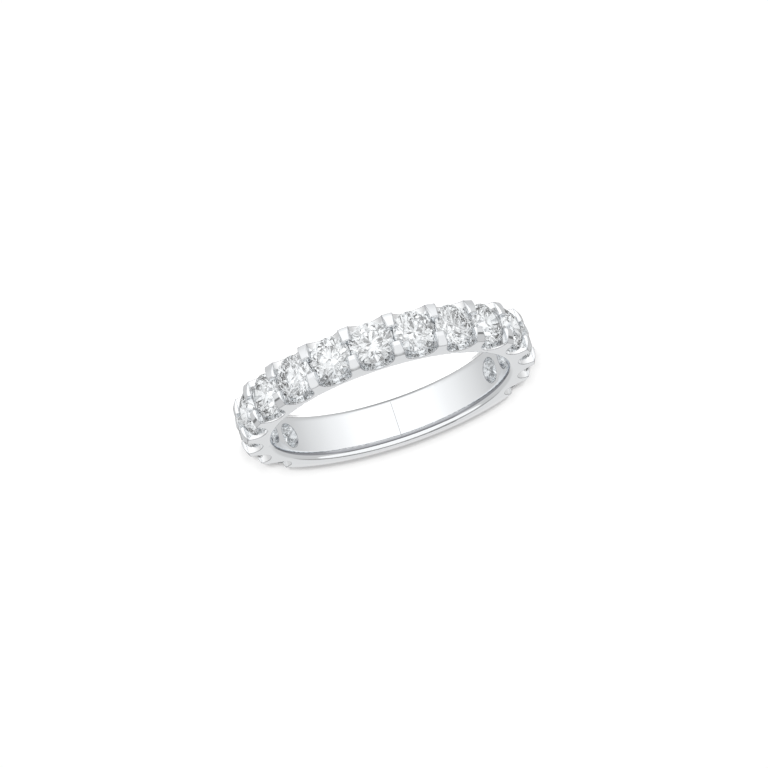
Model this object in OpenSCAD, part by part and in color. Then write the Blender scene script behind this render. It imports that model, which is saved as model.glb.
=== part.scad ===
// Diamond band: a round band lying on its side, with a row of round brilliants
// held between shared claws over most of its way round, and a plain shank that
// closes the circle. The finger hole runs along Z, the stones are centred on -Y
// and the shank on +Y.

/* [Finger hole] */
// Diameter of the finger hole
finger_d = 17; // [16.8:0.1:17.4]
// Radius of the rounded inner edges
comfort_r = 0.5; // [0.4:0.01:0.55]

/* [Band] */
// Width of the band along the finger
band_w = 3.3; // [3.25:0.05:3.5]
// Thickness of the metal from the hole to the tops of the claws
band_t = 2.12; // [2.1:0.01:2.15]
// How much thinner the back of the shank is
shank_slim = 0.25; // [0.1:0.05:0.4]

/* [Stones] */
// Number of stones
stone_count = 15; // [9:2:15]
// Diameter of a stone
stone_d = 2.9; // [2.85:0.01:2.92]
// Room between the girdles of two neighbours
stone_gap = 0.09; // [0.08:0.01:0.12]
// Depth of the tables below the tops of the claws
table_drop = 0.14; // [0.1:0.01:0.16]
// Width of the table as a percentage of the diameter
table_pct = 57; // [55:1:60]
// Slope of the crown's main facets in degrees
crown_angle = 34.5; // [33:0.5:35]
// Slope of the pavilion's main facets in degrees
pavilion_angle = 40.75; // [40:0.25:41.25]

/* [Setting] */
// Width of the U-shaped cuts between the claws
cut_w = 2.36; // [2.3:0.02:2.4]
// Metal left between the hole and the bottom of a cut
cut_floor = 0.74; // [0.7:0.01:0.8]
// Room between the tips of two facing claws
claw_gap = 1.0; // [0.9:0.05:1.1]
// Radius of the rounded shoulders of the claws, seen along the finger
claw_r = 0.3; // [0.2:0.01:0.32]
// Radius of the curve from the tops of the claws to the sides of the band
lean_r = 1.75; // [1.6:0.05:1.8]
// Radius of the rounded tips of the claws
tip_r = 0.12; // [0.08:0.01:0.15]
// Diameter of the open back under each stone
azure_d = 1.8; // [1.4:0.1:1.8]
// Clearance between a stone and its seat
seat_gap = 0.03; // [0.02:0.005:0.04]

/* [Hidden] */
hole_r = finger_d / 2;
outer_r = hole_r + band_t;

// A brilliant, measured from the middle of its girdle along its own axis
stone_r = stone_d / 2;
table_r = stone_r * table_pct / 100;
girdle_h = 0.015 * stone_d;
crown_h = girdle_h + (stone_r - table_r) * tan(crown_angle);
culet_h = girdle_h + stone_r * tan(pavilion_angle);
// How far the small facets beside the table and the culet reach
star_reach = 0.55;
lower_reach = 0.78;

girdle_r = outer_r - table_drop - crown_h;
pitch = 2 * asin((stone_d + stone_gap) / 2 / girdle_r);
first_stone = -90 - pitch * (stone_count - 1) / 2;

// The sides lean in a little towards the outside, from lean_start to lean_turn.
// There the curve begins that leads on to the tops of the claws.
lean_start = [hole_r + 1.1, 0];
lean_turn = [outer_r - 0.28, 0.1];
lean_centre = [
    outer_r - lean_r,
    lean_turn[1] + sqrt(pow(lean_r, 2) - pow(lean_turn[0] - outer_r + lean_r, 2))
];
groove_floor_r = girdle_r - 0.3;

// How far to both sides of its middle the shank is slimmed, how far off the hole's
// axis it is turned for that, and how much larger that turning is
slim_angle = 177 - pitch * stone_count / 2;
shank_offset = shank_slim * (2 * outer_r - shank_slim) / 2
    / (outer_r * (1 - cos(slim_angle)) - shank_slim);
shank_grow = shank_offset - shank_slim;

// What cutters reach past the metal that they cut
past = 1;
tiny = 0.05;

function stone_name(i) = str("stone_", i < 10 ? "0" : "", i);

// Places its children on the outside at one stone, with their Z pointing outwards
module at_stone(i) {
    rotate([0, 0, first_stone + pitch * (i - 1)])
        translate([0, 0, band_w / 2])
            rotate([0, 90, 0])
                children();
}

// What a rounded corner of radius r takes off a square corner at the origin that
// fills +X and +Y
module corner_waste(r) {
    difference() {
        translate([-tiny, -tiny]) square(r + tiny);
        translate([r, r]) circle(r, $fn = 64);
    }
}

// Outline of the band's section out to its tops, filled to the axis and grown
// outwards. X is the radius, Y the height above the lower side.
module outline(grow) {
    start = lean_start + [grow, 0];
    turn = lean_turn + [grow, 0];
    top_r = outer_r + grow;
    for (side = [0, 1]) translate([0, side * band_w]) mirror([0, side]) {
        polygon([
            [0, 0],
            start,
            turn,
            [turn[0], band_w / 2 + tiny],
            [0, band_w / 2 + tiny]
        ]);
        intersection() {
            translate([top_r - lean_r, lean_centre[1]]) circle(lean_r, $fn = 180);
            translate([turn[0] - tiny, turn[1]])
                square([top_r - turn[0] + tiny, lean_centre[1] - turn[1]]);
        }
        translate([turn[0] - tiny, lean_centre[1] - tiny])
            square([top_r - turn[0] + tiny, band_w / 2 - lean_centre[1] + 2 * tiny]);
    }
}

// Section of the finger hole with its rounded edges
module hole_section() {
    translate([-past, -past]) square([hole_r + past, band_w + 2 * past]);
    for (side = [0, 1]) translate([0, side * band_w]) mirror([0, side])
        translate([hole_r, 0]) corner_waste(comfort_r);
}

// The band before the stones are set: round the hole, and slimmer at the back,
// where it is turned about an axis that lies a little off the hole's
module blank() {
    rotate([0, 0, 90]) intersection() {
        rotate_extrude($fn = 180) difference() {
            outline(0);
            hole_section();
        }
        translate([-shank_offset, 0]) rotate_extrude($fn = 180) outline(shank_grow);
    }
}

// Cutter for the groove that parts the claws of one side from those of the other
module groove_cutter() {
    half_angle = pitch * (stone_count - 1) / 2;
    rotate([0, 0, -90 - half_angle])
        rotate_extrude(angle = 2 * half_angle, $fn = 180)
            translate([0, band_w / 2]) {
                translate([groove_floor_r, -claw_gap / 2])
                    square([outer_r + past - groove_floor_r, claw_gap]);
                for (side = [0, 1]) mirror([0, side])
                    translate([outer_r, claw_gap / 2]) mirror([1, 0]) corner_waste(tip_r);
            }
}

// Cutter for one U-shaped cut, through both sides of the band. The tops of the
// claws on both sides of it are rounded by the same cutter.
module u_cutter() {
    corner_r = sqrt(pow(outer_r, 2) - pow(cut_w / 2, 2));
    bottom_r = hole_r + cut_floor;
    rotate([0, 90, 0]) translate([0, 0, -band_w / 2 - past])
        linear_extrude(band_w + 2 * past) {
            translate([-bottom_r - cut_w / 2, 0]) circle(d = cut_w, $fn = 96);
            translate([-outer_r - past, -cut_w / 2])
                square([outer_r + past - bottom_r - cut_w / 2, cut_w]);
            for (side = [0, 1]) mirror([0, side])
                translate([-corner_r, cut_w / 2]) corner_waste(claw_r);
        }
}

// Cutter for the seat of one stone and the open back beneath it
module seat_cutter() {
    wide = stone_r + seat_gap;
    back_r = azure_d / 2;
    back_top = -girdle_h - seat_gap - (wide - back_r) * tan(pavilion_angle);
    star = crown_point_star();
    translate([0, 0, girdle_r])
        rotate_extrude($fn = 96)
            polygon([
                [0, hole_r - girdle_r - past],
                [back_r, hole_r - girdle_r - past],
                [back_r, back_top],
                [wide, -girdle_h - seat_gap],
                [wide, girdle_h + seat_gap],
                star + [seat_gap, seat_gap],
                [table_r + seat_gap, crown_h + seat_gap],
                [table_r + seat_gap, crown_h + past],
                [0, crown_h + past]
            ]);
}

module band() {
    color([0.86, 0.87, 0.88])
        difference() {
            blank();
            groove_cutter();
            for (i = [1 : stone_count]) at_stone(i) {
                u_cutter();
                seat_cutter();
            }
        }
}

// Height of the crown's main facet at a radius and an angle off its middle
function crown_plane(r, off) = girdle_h + (stone_r - r * cos(off)) * tan(crown_angle);
function pavilion_plane(r, off) = -girdle_h - (stone_r - r * cos(off)) * tan(pavilion_angle);

// Where the small facets beside the table end, as radius and height
function star_radius() =
    let (table_flat = table_r * cos(22.5))
    table_flat + star_reach * (stone_r - table_flat);
function crown_point_star() = [star_radius(), crown_plane(star_radius(), 22.5)];

// A ring of points at one height, count of them, the first at angle start
function ring(r, h, count, start) =
    [for (k = [0 : count - 1]) [r * cos(start + k * 360 / count), r * sin(start + k * 360 / count), h]];

// The girdle's edge, which dips where a facet bulges past its straight chord
function girdle_ring(side) =
    let (dip = stone_r * (1 - cos(11.25)) * tan(side > 0 ? crown_angle : pavilion_angle))
    [for (k = [0 : 31]) [
        stone_r * cos(k * 11.25),
        stone_r * sin(k * 11.25),
        side * (girdle_h - (k % 2) * dip)
    ]];

// A round brilliant on the origin, its table towards +Z
module brilliant() {
    star = crown_point_star();
    lower_r = stone_r * (1 - lower_reach);
    points = concat(
        ring(table_r, crown_h, 8, 0),
        ring(star[0], star[1], 8, 22.5),
        girdle_ring(1),
        girdle_ring(-1),
        ring(lower_r, pavilion_plane(lower_r, 22.5), 8, 22.5),
        [[0, 0, -culet_h]]
    );
    t = 0;
    s = 8;
    g = 16;
    b = 48;
    l = 80;
    culet = 88;
    faces = concat(
        [[for (k = [7 : -1 : 0]) t + k]],
        [for (k = [0 : 7]) [t + k, t + (k + 1) % 8, s + k]],
        [for (k = [0 : 7]) [t + k, s + k, g + 4 * k, s + (k + 7) % 8]],
        [for (k = [0 : 7]) [s + k, g + 4 * k + 2, g + 4 * k + 1, g + 4 * k]],
        [for (k = [0 : 7]) [s + k, g + (4 * k + 4) % 32, g + 4 * k + 3, g + 4 * k + 2]],
        [for (k = [0 : 31]) [g + k, g + (k + 1) % 32, b + (k + 1) % 32, b + k]],
        [for (k = [0 : 7]) [l + k, b + 4 * k, b + 4 * k + 1, b + 4 * k + 2]],
        [for (k = [0 : 7]) [l + k, b + 4 * k + 2, b + 4 * k + 3, b + (4 * k + 4) % 32]],
        [for (k = [0 : 7]) [culet, l + (k + 7) % 8, b + 4 * k, l + k]]
    );
    polyhedron(points, faces);
}

module stone(i) {
    color([0.93, 0.96, 1])
        at_stone(i) translate([0, 0, girdle_r]) brilliant();
}

band();
for (i = [1 : stone_count]) stone(i);
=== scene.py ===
"""Dresses a diamond band that lies on its side and sets it on a pale floor.

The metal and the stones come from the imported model. This script gives them their
finishes and builds the floor, the light and the camera. All lengths are in metres.
"""
import math

import bpy
import bmesh
from bpy.props import FloatProperty, FloatVectorProperty, PointerProperty
from mathutils import Matrix, Vector


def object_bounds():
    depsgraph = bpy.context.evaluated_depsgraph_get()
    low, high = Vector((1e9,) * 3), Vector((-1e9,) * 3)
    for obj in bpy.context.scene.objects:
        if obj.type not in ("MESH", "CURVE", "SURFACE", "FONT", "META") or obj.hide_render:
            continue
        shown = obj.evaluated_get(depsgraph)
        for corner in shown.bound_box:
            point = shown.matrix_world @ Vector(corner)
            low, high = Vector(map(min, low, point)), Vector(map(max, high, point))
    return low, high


bl_info = {
    "name": "Diamond Band",
    "version": (1, 0, 0),
    "blender": (4, 5, 0),
    "location": "View3D > Sidebar > Diamond Band",
    "description": "Polished white gold band with a row of brilliant-cut diamonds",
    "category": "Object",
}

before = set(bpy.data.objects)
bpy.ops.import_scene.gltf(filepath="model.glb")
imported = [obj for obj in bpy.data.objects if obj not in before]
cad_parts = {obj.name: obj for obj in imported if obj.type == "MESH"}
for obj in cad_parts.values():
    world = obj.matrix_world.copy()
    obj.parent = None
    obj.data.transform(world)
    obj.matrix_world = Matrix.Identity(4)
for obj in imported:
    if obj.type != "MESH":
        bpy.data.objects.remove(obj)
bpy.context.view_layer.update()
cad_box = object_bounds()

MM = 0.001
BAND = "band"
# The tent round the ring, as places from 0 to 1 and brightnesses. Bearings run from
# before the ring to behind it, heights from straight down to straight up.
BELOW = (
    (0.0, 1.1), (0.2, 1.08), (0.25, 1.02), (0.3, 0.95), (0.36, 0.89), (0.43, 0.8), (0.5, 0.73),
    (0.6, 0.61), (0.88, 0.58), (0.92, 0.3), (1.0, 0.3),
)
WALLS = ((0.0, 0.85), (0.35, 0.85), (0.45, 0.58), (0.85, 0.58), (0.93, 0.72), (1.0, 0.72))
# By height, where the walls begin
RISE = ((0.495, 0.0), (0.505, 1.0))
# The share of what hangs in the tent all the way up or round
EVERYWHERE = ((0.0, 1.0), (1.0, 1.0))
# What hangs in the tent, as its share by height, its share by bearing and its brightness:
# the roof, a dark card high behind the ring, a dark strip along the horizon at its sides,
# a dark edge in front of it below the roof, and a dark pit straight below
HANGINGS = (
    (((0.875, 0.0), (0.885, 1.0)), EVERYWHERE, 1.0),
    (((0.78, 0.0), (0.79, 1.0), (0.92, 1.0), (0.93, 0.0)), ((0.85, 0.0), (0.9, 1.0)), 0.25),
    (
        ((0.495, 0.0), (0.5, 1.0), (0.55, 1.0), (0.56, 0.0)),
        ((0.4, 0.0), (0.45, 1.0), (0.82, 1.0), (0.88, 0.0)),
        0.2,
    ),
    (((0.76, 0.0), (0.82, 1.0), (0.88, 1.0), (0.89, 0.0)), ((0.35, 1.0), (0.45, 0.0)), 0.25),
    (((0.0, 0.45), (0.02, 0.35), (0.06, 0.0)), EVERYWHERE, 0.3),
)
# How bright the patches are that the stones see in the tent, and by bearing, from where on
# they see the backlight in its place
PATCHES = ((0.0, 0.08), (0.36, 0.12), (0.46, 0.75), (0.6, 1.0), (1.0, 1.0))
BACKLIGHT = ((0.45, 0.0), (0.55, 1.0))
# How strongly shade is painted on the rim of the finger hole, from upright to level
RIM_SHADE = ((0.1, 0.0), (0.25, 0.7), (0.5, 1.0), (0.58, 0.0))
# What a place may be off the wall of the finger hole and still count as on it
NEAR = 0.03 * MM
# How many rays look for an edge at each place
EDGE_RAYS = 6
# Cosines of the angles between normals at which the painted shade along an edge begins and is full
EDGE_SHADE_BEGINS = 0.995
EDGE_SHADE_FULL = 0.88
# Depth of the waves that the polishing wheel leaves, and how strongly they bend the mirror
WAVE_DEPTH = 0.004 * MM
WAVE_STRENGTH = 0.25
# The part of the hairlines' pattern that shows, and what it makes of the polish
HAIRLINES = (0.3, 0.75)
DULLED = (0.6, 1.8)
# Above this the walls of the cuts have turned into the flat sides of the band
FLAT = 0.9
# How far a facet of the girdle may lean along the stone's axis
GIRDLE_LEAN = 0.35
# Height of the narrow light above the floor, and radius of the spot that it throws
SPOT_HEIGHT = 0.3
SPOT_RADIUS = 10 * MM
# How far below the ring the floor lies, so that the two don't share a plane
FLOOR_GAP = 0.01 * MM
STONES = sorted(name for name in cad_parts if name.startswith("stone_"))


def linear(hex_colour):
    """Turns a colour such as "#e6e6e8" into Blender's linear values."""
    parts = [int(hex_colour[k:k + 2], 16) / 255 for k in (1, 3, 5)]
    return tuple(c / 12.92 if c <= 0.04045 else ((c + 0.055) / 1.055) ** 2.4 for c in parts)


def add_node(tree, kind, inputs=None, out=0, stops=(), **settings):
    """Adds a node with its settings, and gives its output named out.

    Inputs are sockets to link or values to set, by name or number. Stops are the places
    and the greys of a colour ramp.
    """
    node = tree.nodes.new(kind)
    for key, value in settings.items():
        setattr(node, key, value)
    for key, value in (inputs or {}).items():
        socket = node.inputs[key]
        if isinstance(value, bpy.types.NodeSocket):
            tree.links.new(value, socket)
        else:
            socket.default_value = (*value, 1) if socket.type == "RGBA" else value
    for number, (place, grey) in enumerate(stops):
        points = node.color_ramp.elements
        point = points[number] if number < len(points) else points.new(place)
        point.position = place
        point.color = (grey, grey, grey, 1)
    return node.outputs[out] if node.outputs else node


def new_material(name):
    """An empty material, and its tree."""
    material = bpy.data.materials.new(name)
    material.use_nodes = True
    material.node_tree.nodes.clear()
    return material, material.node_tree


def dress(node_name, material):
    """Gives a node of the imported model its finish."""
    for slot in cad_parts[node_name].material_slots:
        slot.material = material


class BandLook(bpy.types.PropertyGroup):
    metal_colour: FloatVectorProperty(
        name="Metal", description="Colour of the plated white gold",
        subtype="COLOR", size=3, min=0, max=1, default=linear("#f0f2f4"))
    polish: FloatProperty(
        name="Polish", description="Roughness of the polished metal",
        default=0.035, min=0, max=1, subtype="FACTOR")
    dullness: FloatProperty(
        name="Dullness", description="Roughness that is added in the open backs of the stones",
        default=0.1, min=0, max=1, subtype="FACTOR")
    # Painted shade: a dark line along every edge and in every corner stands in for dark reflections and
    # crease shade; the real seam hairline takes the same colour
    seam_and_edge_shade_colour: FloatVectorProperty(
        name="Edges", description="Colour that the plating has along its worn edges",
        subtype="COLOR", size=3, min=0, max=1, default=linear("#8e8f93"))
    # How far the painted shade reaches from an edge
    edge_width: FloatProperty(
        name="Edge width", description="How far from an edge the wear reaches",
        default=0.09 * MM, min=0, unit="LENGTH", precision=5)
    # Painted light: the cuts, seats and open backs are coloured lighter than the metal to lift their shade
    hollow_light_colour: FloatVectorProperty(
        name="Fresh plating", description="Colour of the plating in the cuts, seats and open backs",
        subtype="COLOR", size=3, min=0, max=1, default=linear("#f9fafb"))
    # Painted shade: a grey band on the upper rim of the finger hole stands in for a dark reflection
    rim_shade_colour: FloatVectorProperty(
        name="Rim", description="Colour that the plating has on the rubbed rim of the finger hole",
        subtype="COLOR", size=3, min=0, max=1, default=linear("#a4a6ac"))
    rim_radius: FloatProperty(
        name="Rim radius", description="Radius of the rounded rims of the finger hole",
        default=0.5 * MM, min=0, unit="LENGTH", precision=5)
    seam_angle: FloatProperty(
        name="Seam", description="Where the soldered seam is, off the middle of the shank",
        default=math.radians(-0.6), subtype="ANGLE")
    seam_width: FloatProperty(
        name="Seam width", description="Width of the hairline at the soldered seam",
        default=0.03 * MM, min=0, unit="LENGTH", precision=5)
    hole_radius: FloatProperty(
        name="Hole radius", description="Radius of the finger hole",
        default=8.5 * MM, min=0, unit="LENGTH", precision=5)
    seat_reach: FloatProperty(
        name="Seat reach", description="How far from the hole the seats of the stones reach",
        default=1.7 * MM, min=0, unit="LENGTH", precision=5)
    cut_floor: FloatProperty(
        name="Cut floor", description="Metal left between the hole and the bottom of a cut",
        default=0.74 * MM, min=0, unit="LENGTH", precision=5)
    band_width: FloatProperty(
        name="Band width", description="Width of the band along the finger",
        default=cad_box[1].z - cad_box[0].z, min=0, unit="LENGTH", precision=5)
    soft_edge: FloatProperty(
        name="Soft edge", description="Radius to which polishing has rounded the edges",
        default=0.09 * MM, min=0, unit="LENGTH", precision=5)
    wave_width: FloatProperty(
        name="Wave width", description="Width of the faint waves that a polishing wheel leaves",
        default=1.6 * MM, min=0.01 * MM, unit="LENGTH", precision=5)
    scratch_width: FloatProperty(
        name="Scratch width", description="Width of the hairlines from wear",
        default=0.06 * MM, min=0.01 * MM, unit="LENGTH", precision=5)


class StoneLook(bpy.types.PropertyGroup):
    tint: FloatVectorProperty(
        name="Tint", description="Colour of the diamonds",
        subtype="COLOR", size=3, min=0, max=1, default=linear("#fafdff"))
    ior: FloatProperty(
        name="IOR", description="Refractive index of diamond",
        default=2.417, min=1, max=3)
    frost: FloatProperty(
        name="Frost", description="Roughness of the ground girdles",
        default=0.3, min=0, max=1, subtype="FACTOR")


class StageLook(bpy.types.PropertyGroup):
    floor_colour: FloatVectorProperty(
        name="Floor", description="Colour of the floor",
        subtype="COLOR", size=3, min=0, max=1, default=linear("#dcdcdc"))
    floor_glow: FloatProperty(
        name="Floor glow", description="Light that shines through the floor",
        default=0.33, min=0)
    floor_radius: FloatProperty(
        name="Floor radius", description="Radius of the round floor",
        default=3.0, min=0.1, unit="LENGTH")
    sky_strength: FloatProperty(
        name="Sky", description="Brightness of the studio around the ring",
        default=1.1, min=0)
    patch_scale: FloatProperty(
        name="Patches", description="How many bright and dark patches the stones see",
        default=2.5, min=0.1)
    patch_strength: FloatProperty(
        name="Patch light", description="Brightness of the patches that the stones see",
        default=1.1, min=0)
    backlight: FloatProperty(
        name="Backlight", description="Brightness that the stones see behind the ring",
        default=1.1, min=0)
    fill_strength: FloatProperty(
        name="Fill", description="How much the studio lights the matt floor",
        default=0.12, min=0)
    key_power: FloatProperty(
        name="Key light", description="Strength of the low light that casts the shadow",
        default=4.2, min=0)
    key_height: FloatProperty(
        name="Key height", description="Angle of the key light above the floor",
        default=math.radians(15.45), subtype="ANGLE")
    key_size: FloatProperty(
        name="Key size", description="Angle that the key light fills",
        default=math.radians(1.2), subtype="ANGLE")
    soft_power: FloatProperty(
        name="Soft lights", description="Strength of the two lights that widen the shadow",
        default=2.9, min=0)
    soft_height: FloatProperty(
        name="Soft height", description="Angle of the soft lights above the floor",
        default=math.radians(15), subtype="ANGLE")
    soft_turn: FloatProperty(
        name="Soft turn", description="How far to both sides of the key light the soft lights are",
        default=math.radians(3), subtype="ANGLE")
    soft_size: FloatProperty(
        name="Soft size", description="Angle that a soft light fills",
        default=math.radians(4), subtype="ANGLE")
    hole_power: FloatProperty(
        name="Hole light", description="Power of the narrow light inside the ring",
        default=4.0, min=0, unit="POWER")
    camera_distance: FloatProperty(
        name="Distance", description="Distance from the camera to the middle of the ring",
        default=0.34, min=0.05, unit="LENGTH")
    camera_drop: FloatProperty(
        name="Aim", description="How far below the upper side of the band the camera is aimed",
        default=1.75 * MM, unit="LENGTH", precision=5)
    camera_height: FloatProperty(
        name="Height angle", description="Angle of the camera above the floor",
        default=math.radians(17.28), subtype="ANGLE")
    camera_turn: FloatProperty(
        name="Turn", description="Angle of the camera round the ring, off the middle stone",
        default=math.radians(-0.37), subtype="ANGLE")
    camera_roll: FloatProperty(
        name="Roll", description="Turn of the picture about the line of sight",
        default=math.radians(161.83), subtype="ANGLE")
    focal_length: FloatProperty(
        name="Focal length", description="Focal length of the lens in millimetres",
        default=231.62, min=1)


def within(tree, ranges, share=1.0):
    """The share where each value lies in its range, given as value, low and high, else nothing."""
    for value, low, high in ranges:
        inside = add_node(tree, "ShaderNodeMath", {0: value, 1: (low + high) / 2, 2: (high - low) / 2},
                          operation="COMPARE")
        share = add_node(tree, "ShaderNodeMath", {0: share, 1: inside}, operation="MULTIPLY")
    return share


def off_axis(tree, place):
    """Distance from the axis of the finger hole."""
    flat = add_node(tree, "ShaderNodeVectorMath", {0: place, 1: (1, 1, 0)}, operation="MULTIPLY")
    return add_node(tree, "ShaderNodeVectorMath", {0: flat}, "Value", operation="LENGTH")


def upright(tree):
    """How far the surface turns to the sides of the band, from 0 to 1."""
    facing = add_node(tree, "ShaderNodeNewGeometry", out="Normal")
    height = add_node(tree, "ShaderNodeSeparateXYZ", {0: facing}, "Z")
    return add_node(tree, "ShaderNodeMath", {0: height}, operation="ABSOLUTE")


def in_backs(tree, height, far, look):
    """One in the open backs of the stones, which a wheel hardly reaches and where light is painted, else
    nothing.
    """
    depth = (far, look.hole_radius + NEAR, look.hole_radius + look.cut_floor)
    middle = (height, look.rim_radius, look.band_width - look.rim_radius)
    return within(tree, (depth, middle))


def in_cuts(tree, far, look):
    """One on the walls of the cuts and the seats, where light is painted, else nothing."""
    depth = (far, look.hole_radius + look.cut_floor, look.hole_radius + look.seat_reach)
    walls = (upright(tree), 0, FLAT)
    return within(tree, (depth, walls))


def on_rim(tree, height, far, look):
    """One where the hole begins to round over on its upper side, where shade is painted, else nothing."""
    inside = (far, 0, look.hole_radius + 0.5 * look.rim_radius)
    upper_side = (height, look.band_width / 2, look.band_width)
    turned = add_node(tree, "ShaderNodeValToRGB", {0: upright(tree)}, stops=RIM_SHADE)
    return within(tree, (inside, upper_side), turned)


def along_edges(tree, look):
    """One on an edge or in a corner, where shade is painted, and nothing from edge_width away."""
    rounded = add_node(tree, "ShaderNodeBevel", {"Radius": look.edge_width}, samples=EDGE_RAYS)
    straight = add_node(tree, "ShaderNodeNewGeometry", out="Normal")
    likeness = add_node(tree, "ShaderNodeVectorMath", {0: rounded, 1: straight}, "Value",
                        operation="DOT_PRODUCT")
    return add_node(tree, "ShaderNodeMapRange", {
        "Value": likeness, "From Min": EDGE_SHADE_BEGINS, "From Max": EDGE_SHADE_FULL})


def at_seam(tree, place, far, look):
    """One on the hairline that crosses the inner wall at the back, else nothing."""
    x = add_node(tree, "ShaderNodeSeparateXYZ", {0: place}, "X")
    y = add_node(tree, "ShaderNodeSeparateXYZ", {0: place}, "Y")
    bearing = add_node(tree, "ShaderNodeMath", {0: x, 1: y}, operation="ARCTAN2")
    half = look.seam_width / 2 / look.hole_radius
    line = (bearing, look.seam_angle - half, look.seam_angle + half)
    wall = (far, 0, look.hole_radius + NEAR)
    return within(tree, (line, wall))


def polished_white_gold(look):
    """White gold, rhodium plated and polished on a wheel.

    To the eye it is a cool, almost colourless mirror that bends a little in faint waves,
    with duller open backs that the wheel hardly reached and a dark hairline at the seam.
    Painted shade darkens its edges, its corners and the upper rim of the finger hole, and
    painted light makes its cuts, seats and open backs lighter.
    """
    material, tree = new_material("polished_white_gold")
    place = add_node(tree, "ShaderNodeTexCoord", out="Object")
    height = add_node(tree, "ShaderNodeSeparateXYZ", {0: place}, "Z")
    far = off_axis(tree, place)
    backs = in_backs(tree, height, far, look)
    wave = add_node(tree, "ShaderNodeTexNoise", {
        "Vector": place, "Scale": 1 / look.wave_width, "Detail": 2.0, "Roughness": 0.4})
    edge = add_node(tree, "ShaderNodeBevel", {"Radius": look.soft_edge}, samples=EDGE_RAYS)
    wavy = add_node(tree, "ShaderNodeBump", {
        "Height": wave, "Normal": edge, "Strength": WAVE_STRENGTH, "Distance": WAVE_DEPTH})
    # Real hairlines are about 0.01 mm wide, and are drawn coarser here so that they show
    hairlines = add_node(tree, "ShaderNodeTexNoise", {
        "Vector": place, "Scale": 1 / look.scratch_width, "Detail": 4.0, "Roughness": 0.6})
    rough = add_node(tree, "ShaderNodeMapRange", {
        "Value": hairlines, "From Min": HAIRLINES[0], "From Max": HAIRLINES[1],
        "To Min": look.polish * DULLED[0], "To Max": look.polish * DULLED[1]})
    rough = add_node(tree, "ShaderNodeMath", {0: backs, 1: look.dullness, 2: rough},
                     operation="MULTIPLY_ADD")
    # Painted light in the cuts, seats and open backs
    painted_light = add_node(tree, "ShaderNodeMath", {0: backs, 1: in_cuts(tree, far, look)}, operation="MAXIMUM")
    # Painted shade on the upper rim of the finger hole
    shaded = on_rim(tree, height, far, look)
    edges = along_edges(tree, look)
    seam = at_seam(tree, place, far, look)
    # The painted shade along edges and in corners, together with the real seam hairline
    seam_and_edge_shade = add_node(tree, "ShaderNodeMath", {0: edges, 1: seam}, operation="MAXIMUM")
    # Over the metal's own colour go painted light in the hollows, painted shade on the upper rim, and
    # painted shade along the edges with the real seam
    colour = look.metal_colour
    for share, over in ((painted_light, look.hollow_light_colour), (shaded, look.rim_shade_colour), (seam_and_edge_shade, look.seam_and_edge_shade_colour)):
        colour = add_node(tree, "ShaderNodeMix", {0: share, 6: colour, 7: over}, 2, data_type="RGBA")
    shader = add_node(tree, "ShaderNodeBsdfPrincipled", {
        "Base Color": colour, "Roughness": rough, "Normal": wavy, "Metallic": 1.0})
    add_node(tree, "ShaderNodeOutputMaterial", {"Surface": shader})
    return material


def cut_diamond(look):
    """Diamond, cut as a brilliant and polished, with a ground girdle.

    To the eye it is clear and colourless with a hint of ice, breaks what lies behind into
    bright and dark flashes, and has a frosted line round its edge.
    """
    material, tree = new_material("brilliant_cut_diamond")
    place = add_node(tree, "ShaderNodeTexCoord", out="Object")
    flat = add_node(tree, "ShaderNodeVectorMath", {0: place, 1: (1, 1, 0)}, operation="MULTIPLY")
    outward = add_node(tree, "ShaderNodeVectorMath", {0: flat}, operation="NORMALIZE")
    facing = add_node(tree, "ShaderNodeNewGeometry", out="Normal")
    likeness = add_node(tree, "ShaderNodeVectorMath", {0: facing, 1: outward}, "Value",
                        operation="DOT_PRODUCT")
    girdle = (likeness, -GIRDLE_LEAN, GIRDLE_LEAN)
    rough = within(tree, (girdle,), look.frost)
    shader = add_node(tree, "ShaderNodeBsdfPrincipled", {
        "Base Color": look.tint, "Roughness": rough, "IOR": look.ior, "Transmission Weight": 1.0})
    add_node(tree, "ShaderNodeOutputMaterial", {"Surface": shader})
    return material


def matt_floor(look):
    """Matt white card, which to the eye is an even pale ground with no gloss."""
    material, tree = new_material("matt_white_card")
    shader = add_node(tree, "ShaderNodeBsdfPrincipled", {
        "Base Color": look.floor_colour, "Roughness": 0.9, "Specular IOR Level": 0.0,
        "Emission Color": linear("#ffffff"), "Emission Strength": look.floor_glow})
    add_node(tree, "ShaderNodeOutputMaterial", {"Surface": shader})
    return material


class DIAMONDBAND_OT_band(bpy.types.Operator):
    """Polish the white gold band"""
    bl_idname = "diamondband.band"
    bl_label = "Polish Band"

    def execute(self, context):
        dress(BAND, polished_white_gold(context.scene.band_look))
        return {"FINISHED"}


class DIAMONDBAND_OT_stones(bpy.types.Operator):
    """Give the stones the look of cut diamond"""
    bl_idname = "diamondband.stones"
    bl_label = "Dress Stones"

    def execute(self, context):
        material = cut_diamond(context.scene.stone_look)
        for name in STONES:
            dress(name, material)
        return {"FINISHED"}


def add_lamp(name, light, place, aim):
    """Hangs a light that points at aim and doesn't show in the metal or the stones."""
    lamp = bpy.data.objects.new(name, light)
    bpy.context.scene.collection.objects.link(lamp)
    turn = (Vector(aim) - Vector(place)).to_track_quat("-Z", "Y")
    lamp.matrix_world = Matrix.Translation(place) @ turn.to_matrix().to_4x4()
    lamp.visible_glossy = False
    lamp.visible_transmission = False


def low_light(name, power, height, turn, size):
    """A far light from low on the camera's side, which throws the ring's shadow back."""
    light = bpy.data.lights.new(name, "SUN")
    light.energy = power
    light.angle = size
    flat = math.cos(height)
    add_lamp(name, light, (flat * math.sin(turn), -flat * math.cos(turn), math.sin(height)), (0, 0, 0))


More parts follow.
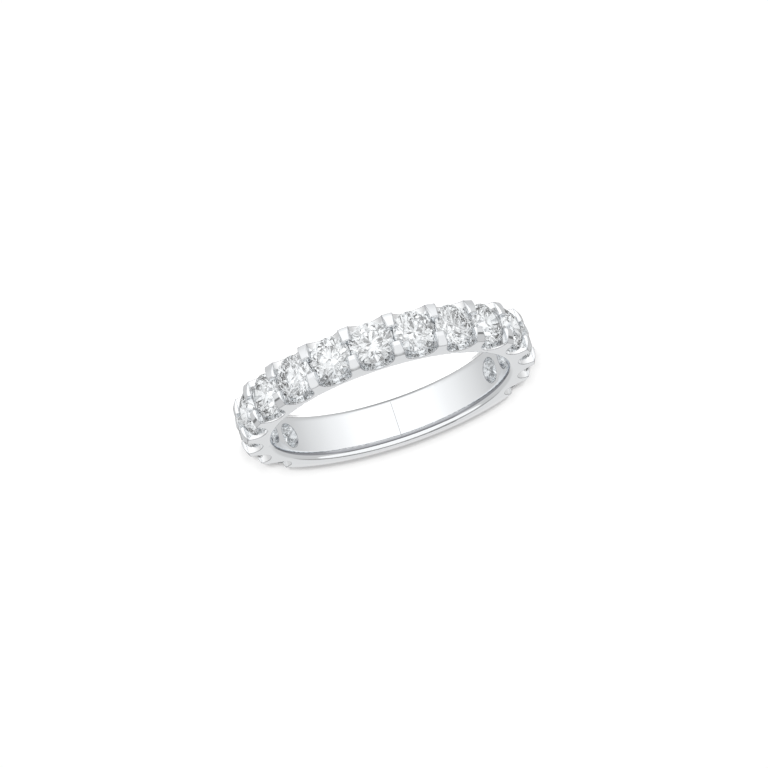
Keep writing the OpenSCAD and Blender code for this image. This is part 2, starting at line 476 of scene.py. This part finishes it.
def hole_light(look):
    """A narrow light overhead that brightens the floor inside the ring."""
    light = bpy.data.lights.new("hole", "SPOT")
    light.energy = look.hole_power
    light.spot_size = 2 * math.atan(SPOT_RADIUS / SPOT_HEIGHT)
    light.spot_blend = 0.05
    light.shadow_soft_size = 5 * MM
    add_lamp("hole", light, (0, 0, SPOT_HEIGHT), (0, 0, 0))


def stage_piece(name, shape, material):
    """Turns a bmesh into an object that belongs to the stage."""
    mesh = bpy.data.meshes.new(name)
    shape.to_mesh(mesh)
    shape.free()
    mesh.materials.append(material)
    piece = bpy.data.objects.new(name, mesh)
    bpy.context.scene.collection.objects.link(piece)
    return piece


def studio_world(look):
    """White to the camera, a weak even light to the floor, and a grey tent to the ring.

    The tent has a soft box overhead. The metal and the stones see it below the horizon
    too, in place of the floor.
    """
    world = bpy.data.worlds.new("studio")
    world.use_nodes = True
    tree = world.node_tree
    tree.nodes.clear()
    way = add_node(tree, "ShaderNodeTexCoord", out="Generated")
    x, y, z = (add_node(tree, "ShaderNodeSeparateXYZ", {0: way}, axis) for axis in "XYZ")
    front = add_node(tree, "ShaderNodeMath", {0: y, 1: -1.0}, operation="MULTIPLY")
    turn = add_node(tree, "ShaderNodeMath", {0: x, 1: front}, operation="ARCTAN2")
    turn = add_node(tree, "ShaderNodeMath", {0: turn}, operation="ABSOLUTE")
    bearing = add_node(tree, "ShaderNodeMath", {0: turn, 1: math.pi}, operation="DIVIDE")
    up = add_node(tree, "ShaderNodeMapRange", {"Value": z, "From Min": -1.0})
    tent = add_node(tree, "ShaderNodeMix", {
        "Factor": add_node(tree, "ShaderNodeValToRGB", {0: up}, stops=RISE),
        "A": add_node(tree, "ShaderNodeValToRGB", {0: bearing}, stops=BELOW),
        "B": add_node(tree, "ShaderNodeValToRGB", {0: bearing}, stops=WALLS)})
    for heights, bearings, grey in HANGINGS:
        high = add_node(tree, "ShaderNodeValToRGB", {0: up}, stops=heights)
        aside = add_node(tree, "ShaderNodeValToRGB", {0: bearing}, stops=bearings)
        share = add_node(tree, "ShaderNodeMath", {0: high, 1: aside}, operation="MULTIPLY")
        tent = add_node(tree, "ShaderNodeMix", {"Factor": share, "A": tent, "B": grey})
    tent = add_node(tree, "ShaderNodeMath", {0: tent, 1: look.sky_strength}, operation="MULTIPLY")
    spots = add_node(tree, "ShaderNodeTexNoise", {"Vector": way, "Scale": look.patch_scale, "Detail": 1.0})
    spots = add_node(tree, "ShaderNodeValToRGB", {0: spots}, stops=PATCHES)
    lively = add_node(tree, "ShaderNodeMath", {0: tent, 1: spots}, operation="MULTIPLY")
    lively = add_node(tree, "ShaderNodeMath", {0: lively, 1: look.patch_strength}, operation="MULTIPLY")
    behind = add_node(tree, "ShaderNodeValToRGB", {0: bearing}, stops=BACKLIGHT)
    lively = add_node(tree, "ShaderNodeMix", {"Factor": behind, "A": lively, "B": look.backlight})
    views = (
        ("Is Transmission Ray", lively), ("Is Diffuse Ray", look.fill_strength), ("Is Camera Ray", 1.0),
    )
    white = linear("#ffffff")
    seen = add_node(tree, "ShaderNodeBackground", {"Color": white, "Strength": tent})
    for ray, strength in views:
        other = add_node(tree, "ShaderNodeBackground", {"Color": white, "Strength": strength})
        asked = add_node(tree, "ShaderNodeLightPath", out=ray)
        seen = add_node(tree, "ShaderNodeMixShader", {0: asked, 1: seen, 2: other})
    add_node(tree, "ShaderNodeOutputWorld", {"Surface": seen})
    bpy.context.scene.world = world


def photo_camera(look):
    """The camera, above the floor and rolled so that the ring shows as it was taken."""
    aim = Vector((0, 0, cad_box[1].z - look.camera_drop))
    turn = -math.pi / 2 - look.camera_turn
    flat = Vector((math.cos(turn), math.sin(turn), 0))
    back = flat * math.cos(look.camera_height) + Vector((0, 0, math.sin(look.camera_height)))
    side = Vector((-math.sin(turn), math.cos(turn), 0))
    up = back.cross(side)
    right = side * math.cos(look.camera_roll) + up * math.sin(look.camera_roll)
    top = up * math.cos(look.camera_roll) - side * math.sin(look.camera_roll)
    camera = bpy.data.cameras.new("camera")
    camera.sensor_width = 36
    camera.lens = look.focal_length
    camera.clip_start = 10 * MM
    seen = bpy.data.objects.new("camera", camera)
    bpy.context.scene.collection.objects.link(seen)
    place = aim + back * look.camera_distance
    columns = Matrix((right, top, back)).transposed().to_4x4()
    seen.matrix_world = Matrix.Translation(place) @ columns
    bpy.context.scene.camera = seen


class DIAMONDBAND_OT_stage(bpy.types.Operator):
    """Build the floor, the light and the camera"""
    bl_idname = "diamondband.stage"
    bl_label = "Build Stage"

    def execute(self, context):
        look = context.scene.stage_look
        shape = bmesh.new()
        bmesh.ops.create_circle(shape, cap_ends=True, segments=96, radius=look.floor_radius)
        bmesh.ops.translate(shape, verts=shape.verts, vec=(0, 0, -FLOOR_GAP))
        floor = stage_piece("floor", shape, matt_floor(look))
        floor.visible_glossy = False
        floor.visible_transmission = False
        low_light("key", look.key_power, look.key_height, 0.0, look.key_size)
        for name, turn in (("soft_left", look.soft_turn), ("soft_right", -look.soft_turn)):
            low_light(name, look.soft_power, look.soft_height, turn, look.soft_size)
        hole_light(look)
        studio_world(look)
        photo_camera(look)
        context.scene.view_settings.view_transform = "Standard"
        # Light leaves the seats only after many reflections
        context.scene.cycles.glossy_bounces = 12
        return {"FINISHED"}


class DIAMONDBAND_PT_panel(bpy.types.Panel):
    """Sizes, finishes and steps of the diamond band"""
    bl_idname = "DIAMONDBAND_PT_panel"
    bl_label = "Diamond Band"
    bl_space_type = "VIEW_3D"
    bl_region_type = "UI"
    bl_category = "Diamond Band"

    def draw(self, context):
        for look_name, step in STEPS:
            look = getattr(context.scene, look_name)
            column = self.layout.column(align=True)
            for key in look.bl_rna.properties.keys():
                if key not in ("rna_type", "name"):
                    column.prop(look, key)
            column.operator(step)


STEPS = (
    ("band_look", "diamondband.band"),
    ("stone_look", "diamondband.stones"),
    ("stage_look", "diamondband.stage"),
)
LOOKS = {"band_look": BandLook, "stone_look": StoneLook, "stage_look": StageLook}
CLASSES = (
    BandLook, StoneLook, StageLook,
    DIAMONDBAND_OT_band, DIAMONDBAND_OT_stones, DIAMONDBAND_OT_stage,
    DIAMONDBAND_PT_panel,
)


def register():
    for cls in CLASSES:
        bpy.utils.register_class(cls)
    for name, cls in LOOKS.items():
        setattr(bpy.types.Scene, name, PointerProperty(type=cls))


def unregister():
    for name in LOOKS:
        delattr(bpy.types.Scene, name)
    for cls in reversed(CLASSES):
        bpy.utils.unregister_class(cls)


def main():
    register()
    bpy.ops.diamondband.band()
    bpy.ops.diamondband.stones()
    bpy.ops.diamondband.stage()
    bpy.context.view_layer.update()


if __name__ == "__main__":
    main()
